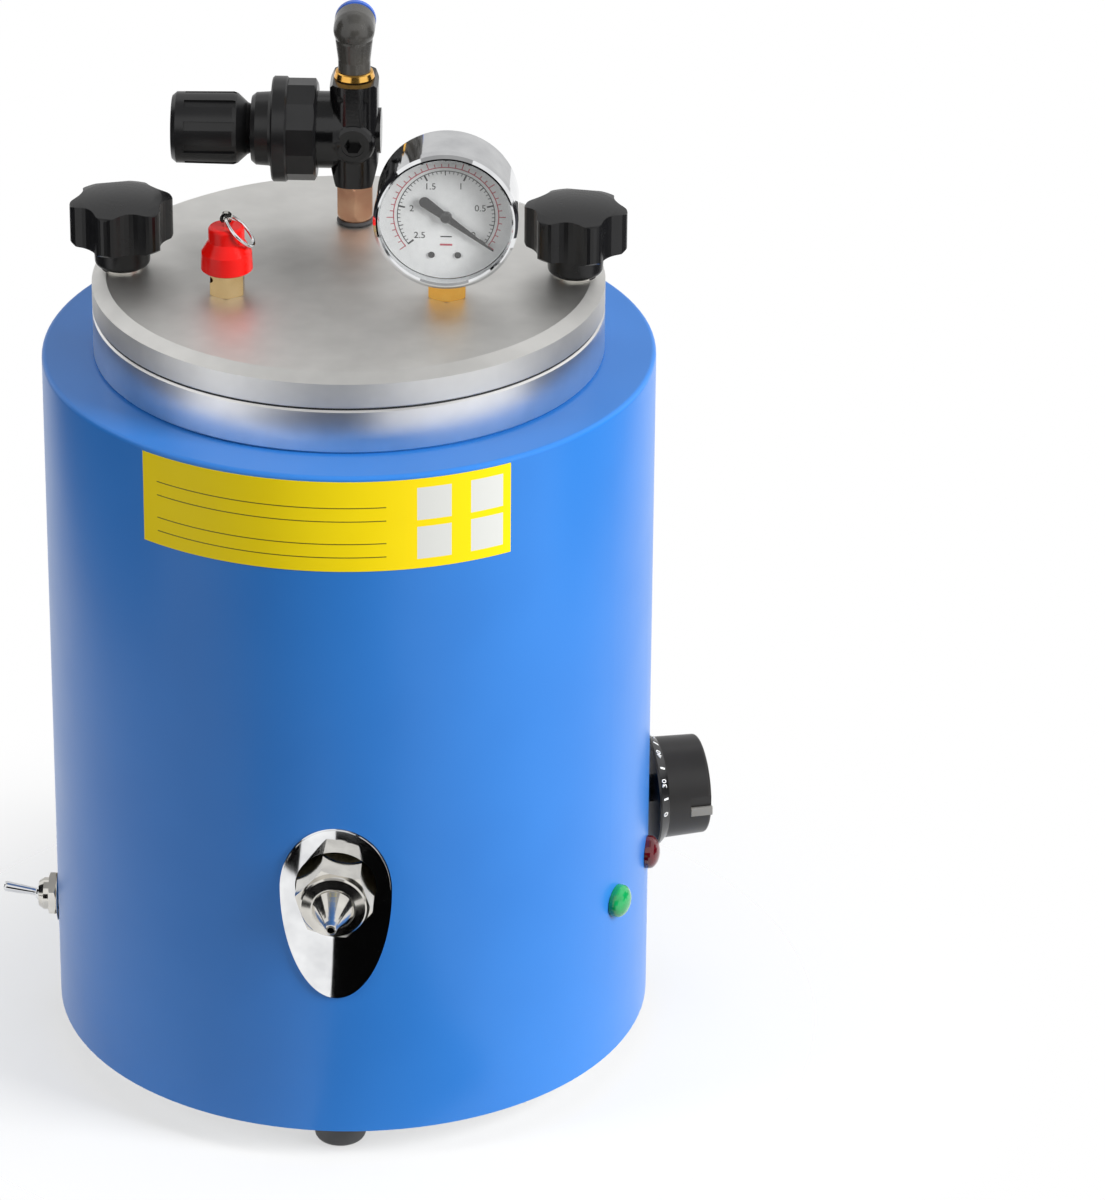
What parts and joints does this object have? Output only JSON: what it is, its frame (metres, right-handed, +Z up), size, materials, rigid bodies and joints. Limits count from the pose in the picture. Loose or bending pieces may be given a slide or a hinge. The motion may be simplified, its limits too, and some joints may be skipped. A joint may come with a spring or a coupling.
{
  "type": "jewelry wax injector",
  "caption": "Round heated pressure pot for casting wax: spring nozzle in front, thermostat, lamps and switch, and a clamped lid with gauge, safety valve, regulator and air elbow.",
  "frame": {"origin": "on the casing's axis, in the plane that the feet stand on", "axes": "+Z up along the casing, the nozzle points along -Y, the thermostat is on the +X side and the switch on the -X side"},
  "size_m": [0.2574, 0.2495, 0.3748],
  "materials": {
    "blue_enamel": "powder-coated steel sheet, satin blue",
    "turned_aluminium": "turned and brushed",
    "chrome": "polished chrome plate",
    "nickel_steel": "bright nickel plate",
    "zinc_steel": "zinc-plated steel",
    "brass": "turned brass",
    "gold_brass": "bright turned brass",
    "copper": "copper-coloured plated brass",
    "silicone": "flat silicone rubber",
    "foot_rubber": "moulded rubber",
    "mineral_wool": "mineral wool felt",
    "black_moulding": "moulded, fine texture",
    "knob_black": "moulded phenolic, satin",
    "skirt_black": "moulded, printed marks",
    "star_black": "moulded phenolic, satin",
    "regulator_black": "die casting, black enamel",
    "regulator_plastic": "moulded acetal",
    "red_cap": "moulded, glossy red",
    "green_lens": "moulded transparent lens",
    "red_lens": "moulded transparent lens",
    "dial_white": "printed white enamel",
    "needle_black": "black enamel",
    "window_glass": "clear flat glass",
    "elbow_grey": "moulded nylon",
    "blue_collar": "moulded acetal, blue"
  },
  "bodies": {
    "base": {"casing": "blue_enamel", "base_plate": "zinc_steel", "feet": "foot_rubber", "foot_screws": "zinc_steel", "wax_pot": "turned_aluminium", "gasket": "silicone", "band_heater": "zinc_steel", "heater_screw": "zinc_steel", "insulation_jacket": "mineral_wool", "nozzle_plate": "chrome", "nozzle_body": "brass", "nozzle_nut": "nickel_steel", "nozzle_spring": "zinc_steel", "thermostat_body": "black_moulding", "thermostat_bulb": "copper", "green_lamp": "green_lens", "red_lamp": "red_lens", "lamp_bodies": "black_moulding", "switch_body": "nickel_steel", "switch_nut": "nickel_steel", "switch_washer": "nickel_steel", "mains_inlet": "black_moulding", "inlet_pins": "brass", "inlet_screws": "zinc_steel"},
    "nozzle_tip": {"nozzle_tip": "nickel_steel"},
    "thermostat_dial": {"thermostat_shaft": "zinc_steel", "thermostat_knob": "knob_black", "thermostat_skirt": "skirt_black"},
    "switch_lever": {"switch_lever": "chrome"},
    "lid": {"lid": "turned_aluminium", "valve_body": "brass", "valve_cap": "red_cap", "valve_spring": "zinc_steel", "gauge_stem": "gold_brass", "bourdon_tube": "brass", "gauge_case": "chrome", "gauge_dial": "dial_white", "gauge_window": "window_glass", "regulator_nipple": "copper", "regulator_body": "regulator_black", "regulator_bonnet": "regulator_plastic", "bonnet_ring": "regulator_plastic", "regulator_diaphragm": "foot_rubber", "pressure_spring": "zinc_steel", "port_plug": "regulator_black", "elbow_stem": "gold_brass"},
    "left_washer": {"washer_left": "nickel_steel"},
    "right_washer": {"washer_right": "nickel_steel"},
    "left_knob": {"clamp_screw_left": "zinc_steel", "star_knob_left": "star_black"},
    "right_knob": {"clamp_screw_right": "zinc_steel", "star_knob_right": "star_black"},
    "valve_spindle": {"valve_spindle": "nickel_steel"},
    "pull_ring": {"pull_ring": "chrome"},
    "needle": {"gauge_needle": "needle_black"},
    "pressure_spindle": {"regulator_spindle": "zinc_steel"},
    "pressure_plate": {"spring_plate": "brass"},
    "pressure_knob": {"regulator_knob": "regulator_plastic"},
    "elbow": {"elbow_body": "elbow_grey"},
    "hose_collar": {"release_collar": "blue_collar"}
  },
  "joints": [
    {"name": "nozzle_push", "type": "slide", "parent": "base", "child": "nozzle_tip", "axis": [0, 1, 0], "range_m": [0, 0.003], "stiffness_N_per_m": 1500, "springref_m": -0.002, "deforming": ["nozzle_spring"]},
    {"name": "thermostat_turn", "type": "hinge", "parent": "base", "child": "thermostat_dial", "pos_m": [0.10335, 0.02769, 0.078], "axis": [-0.9659, -0.2588, 0], "range_deg": [0, 300]},
    {"name": "switch_throw", "type": "hinge", "parent": "base", "child": "switch_lever", "pos_m": [-0.1131, 0, 0.0453], "axis": [0, -1, 0], "range_deg": [0, 22]},
    {"name": "lid_lift", "type": "slide", "parent": "base", "child": "lid", "axis": [0, 0, 1], "range_m": [0, 0.15]},
    {"name": "left_washer_lift", "type": "slide", "parent": "lid", "child": "left_washer", "axis": [0, 0, 1], "range_m": [0, 0.012]},
    {"name": "left_knob_turn", "type": "hinge", "parent": "left_washer", "child": "left_knob", "pos_m": [-0.0785, 0, 0.2953], "axis": [0, 0, 1], "range_deg": [0, 3450]},
    {"name": "right_washer_lift", "type": "slide", "parent": "lid", "child": "right_washer", "axis": [0, 0, 1], "range_m": [0, 0.012]},
    {"name": "right_knob_turn", "type": "hinge", "parent": "right_washer", "child": "right_knob", "pos_m": [0.0785, 0, 0.2953], "axis": [0, 0, 1], "range_deg": [0, 3450]},
    {"name": "valve_pull", "type": "slide", "parent": "lid", "child": "valve_spindle", "axis": [0, 0, 1], "range_m": [0, 0.0025], "stiffness_N_per_m": 800, "springref_m": -0.002, "deforming": ["valve_spring"]},
    {"name": "ring_swing", "type": "hinge", "parent": "valve_spindle", "child": "pull_ring", "pos_m": [-0.04074, -0.02004, 0.323], "axis": [0, -1, 0], "range_deg": [0, 88]},
    {"name": "needle_sweep", "type": "hinge", "parent": "lid", "child": "needle", "pos_m": [0.03488, -0.01854, 0.3287], "axis": [0, -1, 0], "range_deg": [0, 270], "stiffness_Nm_per_rad": 0.00005, "springref_deg": -57.3},
    {"name": "pressure_turn", "type": "hinge", "parent": "lid", "child": "pressure_spindle", "pos_m": [0, 0.043, 0.33], "axis": [1, 0, 0], "range_deg": [0, 1080]},
    {"name": "plate_travel", "type": "slide", "parent": "lid", "child": "pressure_plate", "axis": [1, 0, 0], "range_m": [0, 0.003], "deforming": ["pressure_spring"]},
    {"name": "pressure_knob_pull", "type": "slide", "parent": "pressure_spindle", "child": "pressure_knob", "axis": [-1, 0, 0], "range_m": [0, 0.0035]},
    {"name": "elbow_swivel", "type": "hinge", "parent": "lid", "child": "elbow", "pos_m": [0, 0.043, 0.3676], "axis": [0, 0, 1], "continuous": true},
    {"name": "collar_press", "type": "slide", "parent": "elbow", "child": "hose_collar", "axis": [0, -1, 0], "range_m": [0, 0.0015], "stiffness_N_per_m": 300, "springref_m": -0.001}
  ],
  "couplings": [
    {"joint": "left_washer_lift", "follows": "left_knob_turn", "m_per_rad": 0.00019894},
    {"joint": "right_washer_lift", "follows": "right_knob_turn", "m_per_rad": 0.00019894},
    {"joint": "plate_travel", "follows": "pressure_turn", "m_per_rad": 0.00015915}
  ]
}
